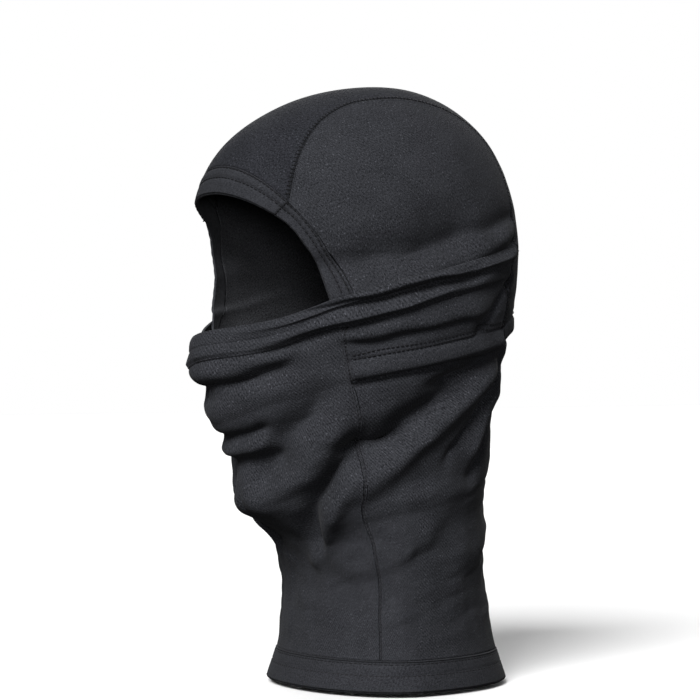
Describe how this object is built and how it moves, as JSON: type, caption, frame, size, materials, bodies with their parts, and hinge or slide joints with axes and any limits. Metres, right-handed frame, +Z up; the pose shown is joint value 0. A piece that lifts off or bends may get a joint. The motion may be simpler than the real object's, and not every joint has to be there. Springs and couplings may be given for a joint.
{
  "type": "full face balaclava",
  "caption": "Black jersey full face balaclava: hood with hemmed face opening, mask with folded top band over the nose, and neck tube.",
  "frame": {"origin": "inside of the crown, where the hood rests on the top of the head", "axes": "+Z up, wearer faces -Y, +X towards the wearer's left"},
  "size_m": [0.1718, 0.2097, 0.3476],
  "materials": {
    "hood_jersey": "matt heathered knit",
    "mask_jersey": "matt heathered knit",
    "hem_jersey": "matt heathered knit, pressed double"
  },
  "bodies": {
    "root": {"centre_panel": "hood_jersey", "side_panel_left": "hood_jersey", "side_panel_right": "hood_jersey", "face_hem": "hem_jersey", "mask_band": "mask_jersey", "mask_panel": "mask_jersey", "neck_side_left": "mask_jersey", "neck_side_right": "mask_jersey", "neck_hem": "hem_jersey"}
  },
  "joints": []
}
